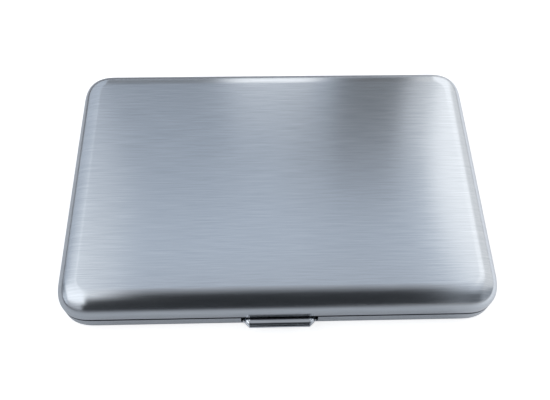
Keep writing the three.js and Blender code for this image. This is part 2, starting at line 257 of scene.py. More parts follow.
def plan_outline(inset, back_marks=(), front_marks=()):
    """Points and outward directions round the plan, counter-clockwise from the back right corner."""
    reach = CORNER_REACH - inset
    straight_x, straight_y = HALF_X - CORNER_REACH, HALF_Y - CORNER_REACH
    runs = [
        [(-x, HALF_Y - inset, 0, 1) for x in straight_samples(straight_x, 26, back_marks)],
        [(-HALF_X + inset, -y, -1, 0) for y in straight_samples(straight_y, 18)],
        [(x, -HALF_Y + inset, 0, -1) for x in straight_samples(straight_x, 26, front_marks)],
        [(HALF_X - inset, y, 1, 0) for y in straight_samples(straight_y, 18)],
    ]
    signs = [(-1, 1), (-1, -1), (1, -1), (1, 1)]
    outline = []
    for quarter, run in enumerate(runs):
        outline += run
        sx, sy = signs[quarter]
        for step in range(1, CORNER_STEPS):
            angle = (quarter + 1 + step / CORNER_STEPS) * math.pi / 2
            across = abs(math.cos(angle)) ** (2 / CORNER_POWER)
            along = abs(math.sin(angle)) ** (2 / CORNER_POWER)
            x = sx * (straight_x + reach * across)
            y = sy * (straight_y + reach * along)
            outward = Vector((sx * across ** (CORNER_POWER - 1), sy * along ** (CORNER_POWER - 1)))
            outline.append((x, y, *outward.normalized()))
    return outline


def crown_height(x, y, amount):
    return amount * max(0, 1 - (x / HALF_X) ** 2) * max(0, 1 - (y / HALF_Y) ** 2)


def eased_round(depth, height, wall_inset, middle_z, up, marks, steps=20):
    """(inset, z, length run from the flat) down a shell's rounded edge, with a point at each mark's z."""
    angles = [step / steps * math.pi / 2 for step in range(steps + 1)]
    angles += [math.acos(((mark - middle_z) * up / height) ** (ROLL_POWER / 2)) for mark in marks]
    points = []
    length = 0
    for angle in sorted(angles):
        inset = wall_inset + depth * (1 - math.sin(angle) ** (2 / ROLL_POWER))
        z = middle_z + up * height * max(0, math.cos(angle)) ** (2 / ROLL_POWER)
        if points:
            length += math.hypot(inset - points[-1][0], z - points[-1][1])
        points.append((inset, z, length))
    return points


def shell(name, roll, depth, rim_z, flat_z, crown, rim_round, notches):
    """A pressed half: flat or crowned in the middle, a rounded edge, a wall and its rim.

    The edge is roll high and depth wide. notches are (side, half length, depth from the rim) with
    side "back" or "front".
    """
    up = 1 if flat_z > rim_z else -1
    middle_z = flat_z - up * roll
    back = [s * n[1] for n in notches if n[0] == "back" for s in (-1, 1)]
    front = [s * n[1] for n in notches if n[0] == "front" for s in (-1, 1)]
    ends = [rim_z + up * d for d in sorted((n[2] for n in notches), reverse=True)]
    on_edge = [z for z in ends if (z - middle_z) * up > 0]
    outer = eased_round(depth, roll, 0, middle_z, up, on_edge)
    inner = eased_round(depth - SHEET, roll - SHEET, SHEET, middle_z, up, on_edge)
    run = outer[-1][2]
    wall = [(0, z, run + abs(z - middle_z)) for z in ends if z not in on_edge]
    rim_run = run + abs(rim_z - middle_z)
    rim = []
    steps = range(RIM_STEPS + 1)
    for radius, centre, side, turns in (
            (rim_round, rim_round, -1, steps),
            (SHEET - rim_round - RIM_FLAT, rim_round + RIM_FLAT, 1, reversed(steps))):
        for turn in turns:
            angle = turn / RIM_STEPS * math.pi / 2
            inset = centre + side * radius * math.cos(angle)
            rim.append((inset, rim_z + up * radius * (1 - math.sin(angle)), rim_run))
    inner_wall = [(SHEET, z, length) for _, z, length in reversed(wall)]
    section = outer + wall + rim + inner_wall + inner[::-1]
    flat_ring = plan_outline(depth, back, front)
    count = len(flat_ring)
    scales = [ring / FLAT_RINGS for ring in range(1, FLAT_RINGS)]
    vertices, uvs = [], []

    def add_ring(points, zs, uv):
        vertices.extend((x, y, z) for (x, y), z in zip(points, zs))
        uvs.extend(uv)

    def add_flat(z, share):
        points = [(x * share, y * share) for x, y, _, _ in flat_ring]
        add_ring(points, [z + crown_height(x, y, crown) for x, y in points], points)

    for share in scales:
        add_flat(flat_z, share)
    for inset, z, length in section:
        ring = plan_outline(inset, back, front)
        points = [(x, y) for x, y, _, _ in ring]
        zs = [z + crown_height(x, y, crown) * (abs(z - rim_z) > LEVEL_WALL) for x, y in points]
        add_ring(points, zs, [(fx + nx * length, fy + ny * length) for fx, fy, nx, ny in flat_ring])
    for share in reversed(scales):
        add_flat(flat_z - up * SHEET, share)

    rings = len(vertices) // count
    first_section = len(scales)
    removed = set()
    faces = []
    columns = [(x, y) for x, y, _, _ in flat_ring]
    for side, half, cut_depth in notches:
        sign = 1 if side == "back" else -1
        inside = [j for j, (x, y) in enumerate(columns)
                  if abs(x) <= half + 1e-7 and y * sign > HALF_Y - depth - 1e-6]
        z = rim_z + up * cut_depth
        levels = [i for i, (_, ring_z, _) in enumerate(section) if abs(ring_z - z) < 1e-8]
        ring_from, ring_to = first_section + levels[0], first_section + levels[-1]
        low, high = min(inside), max(inside)
        for j in range(low, high):
            faces.append((ring_from * count + j, ring_from * count + j + 1,
                          ring_to * count + j + 1, ring_to * count + j))
            for i in range(ring_from, ring_to):
                removed.add((i, j))
        faces.append(tuple(i * count + low for i in range(ring_from, ring_to + 1)))
        faces.append(tuple(i * count + high for i in range(ring_to, ring_from - 1, -1)))
    for i in range(rings - 1):
        for j in range(count):
            if (i, j) not in removed:
                k = (j + 1) % count
                faces.append((i * count + j, i * count + k, (i + 1) * count + k, (i + 1) * count + j))
    for ring, z in ((0, flat_z), (rings - 1, flat_z - up * SHEET)):
        centre = len(vertices)
        vertices.append((0, 0, z + crown_height(0, 0, crown)))
        uvs.append((0, 0))
        faces += [(centre, ring * count + j, ring * count + (j + 1) % count) for j in range(count)]

    obj = mesh_object(name, vertices, faces)
    layer = obj.data.uv_layers.new(name="brush")
    for loop in obj.data.loops:
        u, v = uvs[loop.vertex_index]
        layer.data[loop.index].uv = (0.5 + u / UV_SPAN, 0.5 + v / UV_SPAN)
    clean_loose(obj)
    face_out(obj)
    soften(obj, 0.06 * MM)
    return obj


def clean_loose(obj):
    """Takes away the points that the notches left with no face."""
    work = bmesh.new()
    work.from_mesh(obj.data)
    loose = [v for v in work.verts if not v.link_faces]
    bmesh.ops.delete(work, geom=loose, context="VERTS")
    work.to_mesh(obj.data)
    work.free()


# ---------------------------------------------------------------- materials

def node_material(name):
    material = bpy.data.materials.new(name)
    material.use_nodes = True
    tree = material.node_tree
    tree.nodes.clear()
    output = tree.nodes.new("ShaderNodeOutputMaterial")
    shader = tree.nodes.new("ShaderNodeBsdfPrincipled")
    tree.links.new(shader.outputs["BSDF"], output.inputs["Surface"])
    shader.inputs["Metallic"].default_value = 1.0
    return material, tree, shader


def stretched_noise(tree, source, scale, detail=2.0, roughness=0.55):
    """Noise on coordinates that are stretched by a scale for each axis."""
    mapping = tree.nodes.new("ShaderNodeMapping")
    mapping.inputs["Scale"].default_value = scale
    noise = tree.nodes.new("ShaderNodeTexNoise")
    noise.inputs["Scale"].default_value = 1.0
    noise.inputs["Detail"].default_value = detail
    noise.inputs["Roughness"].default_value = roughness
    tree.links.new(source, mapping.inputs["Vector"])
    tree.links.new(mapping.outputs["Vector"], noise.inputs["Vector"])
    return noise.outputs["Fac"]


def ranged(tree, value, low, high, from_low=0.3, from_high=0.7):
    node = tree.nodes.new("ShaderNodeMapRange")
    node.inputs["From Min"].default_value = from_low
    node.inputs["From Max"].default_value = from_high
    node.inputs["To Min"].default_value = low
    node.inputs["To Max"].default_value = high
    tree.links.new(value, node.inputs["Value"])
    return node.outputs["Result"]


def colour_between(tree, value, dark, light):
    ramp = tree.nodes.new("ShaderNodeMix")
    ramp.data_type = "RGBA"
    ramp.inputs["A"].default_value = (*dark, 1)
    ramp.inputs["B"].default_value = (*light, 1)
    tree.links.new(value, ramp.inputs["Factor"])
    return ramp.outputs["Result"]


def blended(tree, a, b, share):
    mix = tree.nodes.new("ShaderNodeMix")
    mix.data_type = "FLOAT"
    mix.inputs["Factor"].default_value = share
    tree.links.new(a, mix.inputs["A"])
    tree.links.new(b, mix.inputs["B"])
    return mix.outputs["Result"]


# Painted shade: the dark colour laid on the shells' rims at the seam, standing in for the groove's shadow.
SEAM_PAINTED_SHADE = (0.09, 0.095, 0.11)


def brushed_shell_material():
    """Long fine scratches along the case, carried over its edges; the rims at the seam get a painted shade,
    dark as the shadow in the seam's groove.
    """
    material, tree, shader = node_material("brushed_shell")
    uv = tree.nodes.new("ShaderNodeUVMap")
    uv.uv_map = "brush"
    tangent = tree.nodes.new("ShaderNodeTangent")
    tangent.direction_type = "UV_MAP"
    tangent.uv_map = "brush"
    tree.links.new(tangent.outputs["Tangent"], shader.inputs["Tangent"])
    fine = stretched_noise(tree, uv.outputs["UV"], (16, 1000, 1), 3.0)
    broad = stretched_noise(tree, uv.outputs["UV"], (12, 480, 1), 2.0)
    cloudy = stretched_noise(tree, uv.outputs["UV"], (3, 5, 1), 2.0)
    streaks = blended(tree, fine, broad, 0.45)
    steel = colour_between(tree, ranged(tree, streaks, 0, 1, 0.35, 0.65), (0.48, 0.51, 0.545),
                           (0.585, 0.615, 0.65))
    place = tree.nodes.new("ShaderNodeTexCoord")
    heights = tree.nodes.new("ShaderNodeSeparateXYZ")
    tree.links.new(place.outputs["Object"], heights.inputs["Vector"])
    # A band round the rims at the seam, where the painted shade replaces the steel's colour.
    above = ranged(tree, heights.outputs["Z"], 1, 0, lid_low.z + 0.28 * MM, lid_low.z + 0.42 * MM)
    below = ranged(tree, heights.outputs["Z"], 0, 1, base_high.z - 0.30 * MM, base_high.z - 0.18 * MM)
    edges = tree.nodes.new("ShaderNodeMath")
    edges.operation = "MULTIPLY"
    tree.links.new(above, edges.inputs[0])
    tree.links.new(below, edges.inputs[1])
    seam_shade_mix = tree.nodes.new("ShaderNodeMix")
    seam_shade_mix.data_type = "RGBA"
    seam_shade_mix.inputs["B"].default_value = (*SEAM_PAINTED_SHADE, 1)
    tree.links.new(steel, seam_shade_mix.inputs["A"])
    tree.links.new(edges.outputs[0], seam_shade_mix.inputs["Factor"])
    tree.links.new(seam_shade_mix.outputs["Result"], shader.inputs["Base Color"])
    tree.links.new(ranged(tree, blended(tree, streaks, cloudy, 0.35), 0.165, 0.205),
                   shader.inputs["Roughness"])
    bump = tree.nodes.new("ShaderNodeBump")
    bump.inputs["Strength"].default_value = 0.1
    bump.inputs["Distance"].default_value = 0.02 * MM
    tree.links.new(streaks, bump.inputs["Height"])
    tree.links.new(bump.outputs["Normal"], shader.inputs["Normal"])
    shader.inputs["Anisotropic"].default_value = 0.9
    shader.inputs["Anisotropic Rotation"].default_value = 0.25
    return material


def plain_metal_material(name, dark, light, roughness, along, anisotropic=0.0):
    """Drawn or rolled metal: faint lines along one axis, small changes in colour and gloss."""
    material, tree, shader = node_material(name)
    coordinates = tree.nodes.new("ShaderNodeTexCoord")
    lines = stretched_noise(tree, coordinates.outputs["Object"], along, 3.0)
    spots = stretched_noise(tree, coordinates.outputs["Object"], (260, 260, 260), 2.0)
    mixed = blended(tree, lines, spots, 0.35)
    tree.links.new(colour_between(tree, ranged(tree, mixed, 0, 1), dark, light),
                   shader.inputs["Base Color"])
    tree.links.new(ranged(tree, mixed, roughness * 0.8, roughness * 1.25), shader.inputs["Roughness"])
    bump = tree.nodes.new("ShaderNodeBump")
    bump.inputs["Strength"].default_value = 0.08
    bump.inputs["Distance"].default_value = 0.02 * MM
    tree.links.new(lines, bump.inputs["Height"])
    tree.links.new(bump.outputs["Normal"], shader.inputs["Normal"])
    shader.inputs["Anisotropic"].default_value = anisotropic
    return material


MATERIALS = {
    "brushed_shell": brushed_shell_material(),
    "frame_steel": plain_metal_material("frame_steel", (0.46, 0.48, 0.51), (0.58, 0.60, 0.63), 0.3,
                                        (300, 5000, 9000), 0.4),
    "hinge_steel": plain_metal_material("hinge_steel", (0.50, 0.52, 0.55), (0.62, 0.64, 0.67), 0.26,
                                        (300, 9000, 9000), 0.3),
    "bright_wire": plain_metal_material("bright_wire", (0.62, 0.64, 0.67), (0.72, 0.74, 0.76), 0.14,
                                        (200, 9000, 9000)),
    "catch_steel": plain_metal_material("catch_steel", (0.64, 0.67, 0.71), (0.74, 0.77, 0.81), 0.12,
                                        (400, 7000, 7000)),
    "spring_steel": plain_metal_material("spring_steel", (0.40, 0.42, 0.45), (0.52, 0.54, 0.57), 0.22,
                                         (400, 8000, 8000)),
    "rivet_steel": plain_metal_material("rivet_steel", (0.56, 0.58, 0.61), (0.68, 0.70, 0.73), 0.18,
                                        (2000, 2000, 2000)),
}


BODIES = frame["record"]["behaviour"]["bodies"]
BODY_OF = {node: body for body, nodes in BODIES.items() for node in nodes}
SLOT_OF = {entry["node"]: entry["material_slot"] for entry in frame["record"]["subparts"]}


def dress(obj, node):
    """Gives a piece its node's finish and hides the node's own part."""
    obj.data.materials.clear()
    obj.data.materials.append(MATERIALS[SLOT_OF[node]])
    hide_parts(node)


def finish_piece(obj, node, edge=0.0):
    """A finished rigid piece: edges softened, its node's material, riding where the node rides."""
    if edge:
        soften(obj, edge)
    dress(obj, node)
    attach(obj, BODY_OF[node])


# ---------------------------------------------------------------- shells

lid_piece = shell("lid_cover", LID_ROLL, LID_DEPTH, lid_low.z, lid_high.z - CROWN, CROWN, 0.15 * MM,
                  [("back", HINGE_NOTCH, HINGE_Z + BARREL + GAP - lid_low.z)])
finish_piece(lid_piece, "lid_shell")

base_piece = shell("base_tray", BASE_ROLL, BASE_DEPTH, base_high.z, base_low.z, 0, 0.32 * MM,
                   [("back", HINGE_NOTCH, base_high.z - (HINGE_Z - BARREL - GAP)),
                    ("front", THUMB_NOTCH, base_high.z - (thumb_low.z - GAP))])
finish_piece(base_piece, "base_shell")

# ---------------------------------------------------------------- inner frames


def frame_ring(name, inset, thickness, low, high):
    """A strip that runs round the inside of the plan, between two heights."""
    rings = []
    for ring_inset, z in ((inset, low), (inset + thickness, low), (inset + thickness, high), (inset, high)):
        rings.append([(x, y, z) for x, y, _, _ in plan_outline(ring_inset)])
    count = len(rings[0])
    vertices = [point for ring in rings for point in ring]
    faces = []
    for ring in range(4):
        here, there = ring * count, (ring + 1) % 4 * count
        for j in range(count):
            k = (j + 1) % count
            faces.append((here + j, here + k, there + k, there + j))
    obj = mesh_object(name, vertices, faces)
    face_out(obj)
    return obj


frame_low, frame_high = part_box("base_frame")
BASE_FRAME_INSET = HALF_X - frame_high.x
BASE_FRAME_SHEET = 0.6 * MM
LIP_BACK = 24 * MM
CATCH_OPENING = 12.5 * MM
FAR_OUT = 2 * HALF_X

base_frame = frame_ring("base_inner_frame", BASE_FRAME_INSET, BASE_FRAME_SHEET, frame_low.z, frame_high.z)
rim_level = base_high.z - 0.1 * MM
combine(base_frame, [
    block(-CATCH_OPENING, CATCH_OPENING, -HALF_Y, -HALF_Y + 4 * MM, frame_low.z - MM, frame_high.z + MM),
    block(-FAR_OUT, FAR_OUT, LIP_BACK, HALF_Y, rim_level, frame_high.z + MM),
    block(-HINGE_NOTCH, HINGE_NOTCH, LIP_BACK, HALF_Y, HINGE_Z - BARREL - GAP, frame_high.z + MM),
], "DIFFERENCE")
finish_piece(base_frame, "base_frame", 0.08 * MM)

lid_frame_low, lid_frame_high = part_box("lid_frame")
LID_FRAME_INSET = HALF_X - lid_frame_high.x
LID_FRAME_SHEET = 0.5 * MM
lid_frame = frame_ring("lid_inner_frame", LID_FRAME_INSET, LID_FRAME_SHEET,
                       lid_frame_low.z, lid_frame_high.z)
finish_piece(lid_frame, "lid_frame", 0.08 * MM)

# ---------------------------------------------------------------- hinge

LEAF = 0.42 * MM
KNUCKLES = 7
KNUCKLE_ROOM = 0.13 * MM
HINGE_HALF = 35 * MM
PLAY = 0.25 * MM
LEAF_BEND = 0.5 * MM
BASE_LEAF_FACE = HALF_Y - BASE_FRAME_INSET - BASE_FRAME_SHEET - PLAY
LID_LEAF_FACE = HALF_Y - LID_FRAME_INSET - LID_FRAME_SHEET - PLAY


def hinge_leaf(name, face, plate_end, up, half_length, first):
    """A bent strip: its plate on the frame, a tongue out to the pin, and knuckles rolled round it."""
    line_y = face - LEAF / 2
    tongue_z = HINGE_Z - up * (BARREL - LEAF / 2)
    to_tongue = rounded([(line_y, plate_end, 0), (line_y, tongue_z, LEAF_BEND),
                         (HINGE_Y - BARREL - GAP, tongue_z, 0)], closed=False)
    roll = arc(HINGE_Y, HINGE_Z, BARREL - LEAF / 2, -90 * up, 205 * up, 26)
    leaf = prism(name, strip_section(to_tongue, LEAF), -half_length, half_length, "X")
    pitch = 2 * HINGE_HALF / KNUCKLES
    section = strip_section([(HINGE_Y - BARREL - 2 * GAP, tongue_z)] + roll, LEAF)
    knuckles = []
    for i in range(first, KNUCKLES, 2):
        start = -HINGE_HALF + i * pitch + KNUCKLE_ROOM
        knuckles.append(prism("knuckle", section, start, start + pitch - 2 * KNUCKLE_ROOM, "X"))
    return combine(leaf, knuckles, "UNION")


base_leaf_low, base_leaf_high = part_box("base_hinge_leaf")
EAR = 0.5 * MM
ROD_Y = (rod_low.y + rod_high.y) / 2
ROD_Z = (rod_low.z + rod_high.z) / 2
ROD = 0.5 * MM
ROD_ROOM = 0.1 * MM


def ear(x, thickness, outline):
    """A small upright plate with a hole for the rod, its outside face at x."""
    inner = x - math.copysign(thickness, x)
    plate = prism("ear", rounded(outline), min(x, inner), max(x, inner), "X")
    bore = ROD + ROD_ROOM
    hole = turned("hole", [(0, -2 * EAR), (bore, -2 * EAR), (bore, 2 * EAR), (0, 2 * EAR)],
                  Vector((x, ROD_Y, ROD_Z)), "X")
    return combine(plate, [hole], "DIFFERENCE")


base_leaf = hinge_leaf("base_leaf", BASE_LEAF_FACE, base_leaf_low.z + 0.1 * MM, 1, base_leaf_high.x, 0)
ear_back = BASE_LEAF_FACE - 0.02 * MM
ear_top = ROD_Z + 0.95 * MM
leaf_ear = [(base_leaf_low.y, base_leaf_low.z, 0.4 * MM), (ear_back, base_leaf_low.z, 0),
            (ear_back, ear_top, 0), (base_leaf_low.y, ear_top, 0.9 * MM)]
combine(base_leaf, both_sides(lambda side, sign: ear(sign * base_leaf_high.x, EAR, leaf_ear)), "UNION")
finish_piece(base_leaf, "base_hinge_leaf", 0.05 * MM)

lid_leaf = hinge_leaf("lid_leaf", LID_LEAF_FACE, lid_frame_high.z, -1, HINGE_HALF, 1)
finish_piece(lid_leaf, "lid_hinge_leaf", 0.05 * MM)


def headed_rod(name, node, radius, head_length, low, high):
    """A wire with a low domed head at each end."""
    middle = (low + high) / 2
    half = (high.x - low.x) / 2
    head = (high.z - low.z) / 2
    dome = [(head * math.cos(t), half - head_length / 2 + head_length / 2 * math.sin(t))
            for t in (math.pi / 2 * i / 6 for i in range(6))]
    right = [(radius, half - head_length), (head, half - head_length), *dome, (0, half)]
    left = [(r, -along) for r, along in reversed(right)]
    finish_piece(turned(name, left + right, middle, "X"), node, 0.03 * MM)


headed_rod("pin_wire", "hinge_pin", 0.5 * MM, 0.3 * MM, pin_low, pin_high)
headed_rod("rod_wire", "retainer_rod", ROD, 0.3 * MM, rod_low, rod_high)

# ---------------------------------------------------------------- rivets

RIVET = {"shank": 0.35 * MM, "head": 0.8 * MM, "dome": 0.35 * MM, "seat": 0.1 * MM}


def rivet(node):
    """A domed rivet along Y, its head on the side that faces the inside of the case."""
    low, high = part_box(node)
    middle = (low + high) / 2
    half = (high.y - low.y) / 2
    inward = 1 if middle.y < 0 else -1
    crown_start = half - RIVET["dome"]
    sphere = (RIVET["head"] ** 2 + RIVET["dome"] ** 2) / (2 * RIVET["dome"])
    edge_turn = math.asin(RIVET["head"] / sphere)
    dome = []
    for i in range(8):
        turn = edge_turn * (1 - i / 8)
        dome.append((sphere * math.sin(turn), half - sphere * (1 - math.cos(turn))))
    profile = [(0, -half), (RIVET["shank"], -half), (RIVET["shank"], crown_start),
               (RIVET["head"], crown_start), *dome[1:], (0, half)]
    profile = [(radius, inward * along) for radius, along in profile]
    finish_piece(turned(node + "_domed", profile, middle, "Y", 28), node, 0.03 * MM)


for node in frame["nodes"]:
    if "rivet" in node:
        rivet(node)

# ---------------------------------------------------------------- catch


def round_levels(low, high, radius, steps=5):
    """(inset, z) up the edge of a slab that is rounded below and above."""
    turns = [i / steps * math.pi / 2 for i in range(steps + 1)]
    below = [(radius * (1 - math.sin(t)), low + radius * (1 - math.cos(t))) for t in turns]
    above = [(radius * (1 - math.cos(t)), high - radius * (1 - math.sin(t))) for t in turns]
    return below + above


def eased_slab(name, outline, levels):
    """A slab whose convex outline is stepped in by an inset at each level, from the lowest up."""
    count = len(outline)
    line = [Vector(p) for p in outline]
    normals = []
    for start, end in zip(line, line[1:] + line[:1]):
        along = (end - start).normalized()
        normals.append(Vector((-along.y, along.x)))
    inward = []
    for before, after in zip(normals[-1:] + normals[:-1], normals):
        inward.append((before + after) / (1 + before.dot(after)))
    vertices = []
    for inset, z in levels:
        vertices += [(*(p + n * inset), z) for p, n in zip(line, inward)]
    faces = [tuple(range(count)), tuple(range(len(vertices) - count, len(vertices)))]
    for level in range(len(levels) - 1):
        for i in range(count):
            j = (i + 1) % count
            faces.append((level * count + i, level * count + j, (level + 1) * count + j,
                          (level + 1) * count + i))
    obj = mesh_object(name, vertices, faces)
    face_out(obj)
    return obj


THUMB_ROOT = 8 * MM
THUMB_FLANGE = 0.8 * MM
THUMB_PLATE = 0.75 * MM
THUMB_CORNER = 0.3 * MM
THUMB_EDGE = 0.1 * MM
thumb_proud = -HALF_Y - thumb_low.y
inside_flange = thumb_high.y - 0.05 * MM
thumb_plate = rounded([
    (-THUMB_ROOT, inside_flange, 0), (-THUMB_ROOT, -HALF_Y, THUMB_CORNER),
    (-THUMB_ROOT + thumb_proud, thumb_low.y, THUMB_CORNER),
    (THUMB_ROOT - thumb_proud, thumb_low.y, THUMB_CORNER),
    (THUMB_ROOT, -HALF_Y, THUMB_CORNER), (THUMB_ROOT, inside_flange, 0)])
thumb = eased_slab("thumb_button", thumb_plate,
                   round_levels(thumb_low.z, thumb_low.z + THUMB_PLATE, THUMB_EDGE))
PILLOW_HALF = THUMB_ROOT - 0.55 * MM
PILLOW_FRONT = thumb_low.y + 0.03 * MM
PILLOW_ROUND = 1.15 * MM
# How far in and how far below its top the pillow's edge lies, in millimetres, from its undercut foot
# over its lip and its sloping front to the flat.
PILLOW_STEPS = [(0.5, 1.9), (0.5, 1.2), (0.05, 0.56), (0, 0.5), (0.02, 0.46), (0.3, 0.13),
                (0.34, 0.1), (0.55, 0.076), (0.8, 0.047), (0.95, 0.02), (1.05, 0)]
pillow_outline = rounded([
    (-PILLOW_HALF, inside_flange, 0), (-PILLOW_HALF, PILLOW_FRONT, PILLOW_ROUND),
    (PILLOW_HALF, PILLOW_FRONT, PILLOW_ROUND), (PILLOW_HALF, inside_flange, 0)], steps=12)
pillow_levels = [(inset * MM, thumb_high.z - drop * MM) for inset, drop in PILLOW_STEPS]
pillow = eased_slab("thumb_pillow", pillow_outline, pillow_levels)
combine(thumb, [block(thumb_low.x, thumb_high.x, thumb_high.y - THUMB_FLANGE, thumb_high.y,
                      thumb_low.z, thumb_high.z)], "UNION")
finish_piece(thumb, "thumb_piece", 0.04 * MM)
finish_piece(pillow, "thumb_piece", 0.015 * MM)

hook_low, hook_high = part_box("catch_hook")
HOOK = 0.5 * MM
ARM = 4 * MM
hook_front = thumb_high.y + PLAY
arm_front = hook_high.y - HOOK
arm_outline = rounded([
    (hook_front, hook_low.z + 1.15 * MM, 0), (hook_front + HOOK, hook_low.z + 1.15 * MM, 0),
    (hook_front + HOOK, hook_low.z + 1.75 * MM, 0.3 * MM), (hook_high.y, hook_low.z + 2.45 * MM, 0.3 * MM),
    (hook_high.y, hook_high.z, 0.2 * MM), (arm_front, hook_high.z, 0.15 * MM),
    (hook_low.y, hook_high.z - 0.7 * MM, 0.08 * MM), (hook_low.y, hook_high.z - 0.95 * MM, 0.08 * MM),
    (arm_front, hook_high.z - 0.95 * MM, 0.1 * MM), (arm_front, hook_low.z + 2.65 * MM, 0.3 * MM),
    (hook_front, hook_low.z + 1.95 * MM, 0.3 * MM)])
plate_outline = rounded([
    (hook_low.x, hook_low.z, 0.5 * MM), (hook_high.x, hook_low.z, 0.5 * MM),
    (hook_high.x, hook_low.z + 2.05 * MM, 0.5 * MM), (hook_low.x, hook_low.z + 2.05 * MM, 0.5 * MM)])
hook = prism("hook_spring", plate_outline, hook_front, hook_front + HOOK, "Y")
combine(hook, [prism("arm", arm_outline, -ARM, ARM, "X")], "UNION")
finish_piece(hook, "catch_hook", 0.04 * MM)

strike_low, strike_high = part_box("strike_plate")
WINDOW = {"half": 4.6 * MM, "low": 6.75 * MM, "high": 8.2 * MM}
strike = prism("strike_window", rounded([
    (strike_low.x, strike_low.z, 0.3 * MM), (strike_high.x, strike_low.z, 0.3 * MM),
    (strike_high.x, strike_high.z, 0.6 * MM), (strike_low.x, strike_high.z, 0.6 * MM)]),
    strike_low.y, strike_high.y, "Y")
window = prism("window", rounded([
    (-WINDOW["half"], WINDOW["low"], 0.3 * MM), (WINDOW["half"], WINDOW["low"], 0.3 * MM),
    (WINDOW["half"], WINDOW["high"], 0.3 * MM), (-WINDOW["half"], WINDOW["high"], 0.3 * MM)]),
    strike_low.y - MM, strike_high.y + MM, "Y")
combine(strike, [window], "DIFFERENCE")
finish_piece(strike, "strike_plate", 0.05 * MM)

spring_low, spring_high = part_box("catch_spring")
SPRING = 0.3 * MM
SPRING_FOOT = 15.5 * MM
SPRING_FLAT = 12 * MM


def catch_spring_half(side, sign):
    """From a foot on the frame to the middle, which the catch pushes back."""
    foot_y = spring_low.y + SPRING / 2
    middle_y = spring_high.y - SPRING / 2
    bend = SPRING_FOOT - SPRING_FLAT
    run = []
    for i in range(25):
        share = i / 24
        run.append((sign * (SPRING_FLAT + bend * share),
                    middle_y + (foot_y - middle_y) * share * share * (3 - 2 * share)))
    line = [(0, middle_y), (sign * SPRING_FLAT / 2, middle_y), *run, (sign * spring_high.x, foot_y)]
    half = prism(f"catch_spring_{side}", strip_section(line, SPRING), spring_low.z, spring_high.z, "Z")
    soften(half, 0.03 * MM)
    dress(half, "catch_spring")
    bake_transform(half)


both_sides(catch_spring_half)

# ---------------------------------------------------------------- card retainer

keeper_low, keeper_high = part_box("card_retainer")
KEEPER = 0.6 * MM
ARM_WIDTH = 5 * MM
BAR_WIDTH = 7 * MM
arm_inner = keeper_high.x - ARM_WIDTH
bar_back = keeper_low.y + BAR_WIDTH
keeper_outline = rounded([
    (-keeper_high.x, keeper_high.y, 0), (-keeper_high.x, keeper_low.y, 3.5 * MM),
    (keeper_high.x, keeper_low.y, 3.5 * MM), (keeper_high.x, keeper_high.y, 0),
    (arm_inner, keeper_high.y, 0.8 * MM), (arm_inner, bar_back, 3 * MM),
    (-arm_inner, bar_back, 3 * MM), (-arm_inner, keeper_high.y, 0.8 * MM)], steps=10)
keeper = prism("card_keeper", keeper_outline, keeper_low.z, keeper_low.z + KEEPER, "Z")
combine(keeper, both_sides(lambda side, sign: ear(sign * keeper_high.x, KEEPER, [
    (ROD_Y - MM, keeper_low.z + 0.1 * MM, 0), (keeper_high.y - 0.02 * MM, keeper_low.z + 0.1 * MM, 0),
    (keeper_high.y - 0.02 * MM, keeper_high.z, 0.6 * MM), (ROD_Y - MM, keeper_high.z, 0.9 * MM)])), "UNION")
finish_piece(keeper, "card_retainer", 0.07 * MM)

WIRE = 0.15 * MM
COIL = 0.85 * MM
COIL_TURNS = 3
COIL_LENGTH = 2.4 * MM
COIL_MIDDLE = 33.9 * MM


def retainer_spring(side, sign):
    """A coil round the rod, one leg on the retainer's arm and a short one against the hinge leaf."""
    on_arm = keeper_low.z + KEEPER + WIRE + 0.2 * MM
    start_x = sign * (COIL_MIDDLE - COIL_LENGTH / 2)
    points = [(start_x, ROD_Y - share * MM, on_arm) for share in (7, 6, 5)]
    points.append((start_x, ROD_Y - 4 * MM, on_arm + 0.35 * MM))
    steps = COIL_TURNS * 24
    for i in range(steps + 1):
        turn = -math.pi / 2 + 2 * math.pi * COIL_TURNS * i / steps
        points.append((start_x + sign * COIL_LENGTH * i / steps,
                       ROD_Y + COIL * math.cos(turn), ROD_Z + COIL * math.sin(turn)))
    points.append((start_x + sign * COIL_LENGTH, ROD_Y + 1.25 * MM, ROD_Z - COIL))
    curve = bpy.data.curves.new("wire", "CURVE")
    curve.dimensions = "3D"
    curve.bevel_depth = WIRE
    curve.bevel_resolution = 3
    curve.use_fill_caps = True
    spline = curve.splines.new("POLY")
    spline.points.add(len(points) - 1)
    for point, place in zip(spline.points, points):
        point.co = (*place, 1)
    wire = new_object("wire", curve)
    bpy.context.view_layer.update()
    mesh = bpy.data.meshes.new_from_object(wire.evaluated_get(bpy.context.evaluated_depsgraph_get()))
    bpy.data.objects.remove(wire, do_unlink=True)
    coil = new_object(f"retainer_coil_{side}", mesh)
    mesh.name = coil.name
    mesh.polygons.foreach_set("use_smooth", [True] * len(mesh.polygons))
    dress(coil, f"retainer_spring_{side}")
    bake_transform(coil)


both_sides(retainer_spring)

# ---------------------------------------------------------------- camera

CAMERA_AZIMUTH = math.radians(-3.0)
CAMERA_ELEVATION = math.radians(60.9)
CAMERA_ROLL = math.radians(1.82)
CAMERA_DISTANCE = 154.75 * MM
CAMERA_SIDE = -0.16 * MM
CAMERA_UP = -2.63 * MM
LENS = 649.9 / 550 * 36


